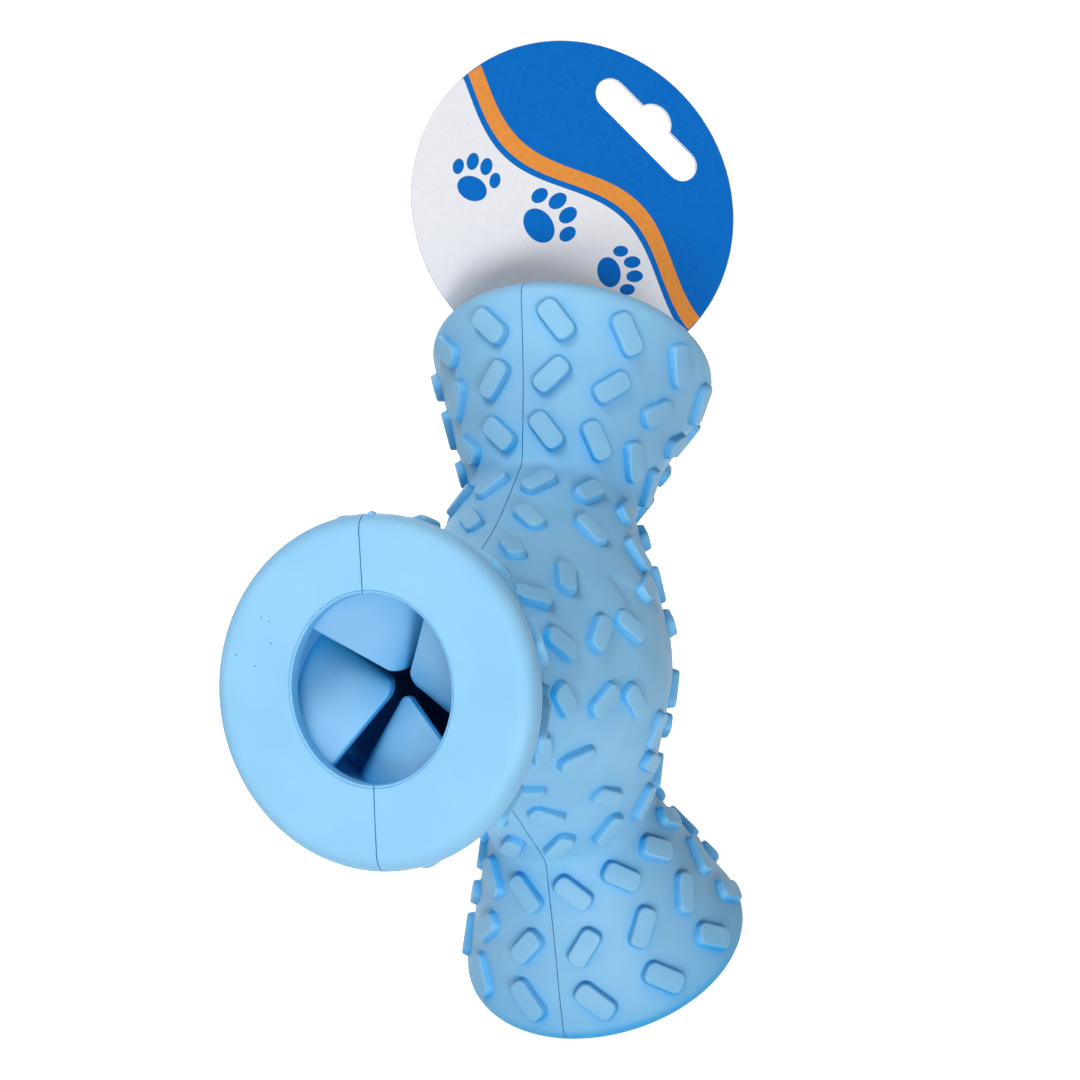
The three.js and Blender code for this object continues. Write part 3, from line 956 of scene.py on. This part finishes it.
def mixed(tree, factor, first, second):
    """A mix of two colours, each an output or red, green and blue."""
    node = tree.nodes.new("ShaderNodeMix")
    node.data_type = "RGBA"
    feed(tree, node.inputs["Factor"], factor)
    for name, value in (("A", first), ("B", second)):
        socket = next(item for item in node.inputs if item.name == name and item.type == "RGBA")
        feed(tree, socket, (*value, 1.0) if isinstance(value, tuple) else value)
    return next(item for item in node.outputs if item.type == "RGBA")


def bumped(tree, bump, below=None):
    """A surface with a fine noise in its height, on top of another such surface."""
    scale, depth, strength = bump
    node = add_node(tree, "ShaderNodeBump", Height=noise(tree, scale), Distance=depth * MM, Strength=strength)
    if below:
        tree.links.new(below, node.inputs["Normal"])
    return node.outputs["Normal"]


# Materials

def spotted(tree, colour, spots):
    """A colour with dark specks at the given places."""
    for spot in spots:
        away = tree.nodes.new("ShaderNodeVectorMath")
        away.operation = "DISTANCE"
        away.inputs[1].default_value = spot
        tree.links.new(place_in(tree), away.inputs[0])
        speck = math_node(tree, "LESS_THAN", away.outputs["Value"], SPOT_RADIUS * MM)
        colour = mixed(tree, speck, colour, SPOT_COLOUR)
    return colour


def rubber(name, colours, painted_shade_range, spots=()):
    """Satin moulded rubber: faint clouds in its colour, painted shade towards its third colour where its
    surface is hemmed in, with fine grain and specks.
    """
    material, tree = new_material(name)
    shader = tree.nodes["Principled BSDF"]
    # The third colour is painted shade, not a colour of the rubber itself
    deep, pale, crease = colours
    clouds = ranged(tree, noise(tree, CLOUD_SCALE, CLOUD_DETAIL), 0.0, 1.0)
    # Painted shade: the ambient occlusion of nearby surfaces blends the colour towards the painted shade
    # colour
    painted_shade_occlusion = add_node(tree, "ShaderNodeAmbientOcclusion", Distance=PAINTED_SHADE_REACH * MM)
    painted_shade_occlusion.samples = PAINTED_SHADE_SAMPLES
    clear = ranged(tree, painted_shade_occlusion.outputs["AO"], 0.0, 1.0, painted_shade_range)
    colour = mixed(tree, clear, crease, mixed(tree, clouds, deep, pale))
    tree.links.new(spotted(tree, colour, spots), shader.inputs["Base Color"])
    shader.inputs["Specular IOR Level"].default_value = RUBBER_GLOSS
    sheen = ranged(tree, noise(tree, RUBBER_SHEEN_SCALE), *RUBBER_ROUGHNESS)
    tree.links.new(sheen, shader.inputs["Roughness"])
    tree.links.new(bumped(tree, RUBBER_RIPPLE, bumped(tree, RUBBER_GRAIN)), shader.inputs["Normal"])
    return material


def printed_card(name, colours, roughness):
    """Coated card or ink on it: a faint fibre cloud in the colour and a slight orange peel in the gloss."""
    material, tree = new_material(name)
    shader = tree.nodes["Principled BSDF"]
    shader.inputs["Roughness"].default_value = roughness
    shader.inputs["Specular IOR Level"].default_value = CARD_GLOSS
    fibres = ranged(tree, noise(tree, FIBRE_SCALE, FIBRE_DETAIL), 0.0, 1.0)
    tree.links.new(mixed(tree, fibres, *colours), shader.inputs["Base Color"])
    tree.links.new(bumped(tree, CARD_PEEL), shader.inputs["Normal"])
    return material


def seen_directly(tree):
    """1 for what the camera, gloss and clear pieces show, 0 for what lights the object."""
    rays = tree.nodes.new("ShaderNodeLightPath")
    seen = math_node(tree, "MAXIMUM", rays.outputs["Is Camera Ray"], rays.outputs["Is Glossy Ray"])
    return math_node(tree, "MAXIMUM", seen, rays.outputs["Is Transmission Ray"])


def floor_material():
    """A pale floor with a faint glow; seen directly, in gloss or through clear pieces it shows white."""
    material, tree = new_material("floor")
    shader = tree.nodes["Principled BSDF"]
    shader.inputs["Roughness"].default_value = FLOOR_ROUGHNESS
    shader.inputs["Emission Color"].default_value = WHITE
    seen = seen_directly(tree)
    glow = ranged(tree, seen, FLOOR_GLOW, FLOOR_WHITE, FULL_RANGE)
    tree.links.new(mixed(tree, seen, FLOOR_BOUNCE, FLOOR_COLOUR), shader.inputs["Base Color"])
    tree.links.new(glow, shader.inputs["Emission Strength"])
    return material


# Stage, light and camera

def area_light(name, direction, size, power):
    light = bpy.data.lights.new(name, "AREA")
    light.shape = "DISK"
    light.size = size
    light.energy = power
    lamp = add_object(name, light)
    towards = Vector(direction).normalized()
    lamp.location = HUB + towards * LAMP_DISTANCE
    lamp.rotation_euler = towards.to_track_quat("Z", "Y").to_euler()


def floor():
    shape = bmesh.new()
    bmesh.ops.create_grid(shape, x_segments=1, y_segments=1, size=FLOOR_REACH)
    ground = object_from("floor", shape)
    ground.data.materials.append(floor_material())


def world():
    room = bpy.data.worlds.new("studio")
    room.use_nodes = True
    tree = room.node_tree
    background = tree.nodes["Background"]
    background.inputs["Color"].default_value = WHITE
    strength = ranged(tree, seen_directly(tree), WORLD_LIGHT, WORLD_WHITE, FULL_RANGE)
    tree.links.new(strength, background.inputs["Strength"])
    bpy.context.scene.world = room


def stage():
    floor()
    world()
    for name, (direction, size, power) in LAMPS.items():
        area_light(name, direction, size, power)
    bpy.context.scene.view_settings.view_transform = "Standard"


def camera():
    right, down = Vector(CAMERA_RIGHT), Vector(CAMERA_DOWN)
    backward = right.cross(-down)
    data = bpy.data.cameras.new("camera")
    data.sensor_width = SENSOR_WIDTH
    data.lens = CAMERA_FOCAL_PIXELS / IMAGE_PIXELS * SENSOR_WIDTH
    view = add_object("camera", data)
    basis = Matrix((right, -down, backward)).transposed().to_4x4()
    view.matrix_world = Matrix.Translation(TO_ROW @ Vector(CAMERA_PLACE)) @ basis
    bpy.context.scene.camera = view


spots = [RUBBER_TO_ROW @ mouth_matrix("front") @ Vector((x, y, 0)) for x, y in SPOTS]
# Each rubber's third colour and range set its painted shade
body_finish = rubber("body_rubber", BODY_COLOURS_AND_PAINTED_SHADE, BODY_PAINTED_SHADE_RANGE, spots)
valve_finish = rubber("valve_rubber", VALVE_COLOURS_AND_PAINTED_SHADE, VALVE_PAINTED_SHADE_RANGE)
card_finish = printed_card("card", CARD_COLOURS, CARD_ROUGHNESS)
blue_ink = printed_card("blue_ink", BLUE_INK, INK_ROUGHNESS)
white_ink = printed_card("white_ink", WHITE_INK, INK_ROUGHNESS)
orange_ink = printed_card("orange_ink", ORANGE_INK, INK_ROUGHNESS)

camera()
stage()
body_halves(body_finish)
valves(valve_finish)
card_pieces(card_finish)
print_pieces(blue_ink, white_ink, orange_ink)
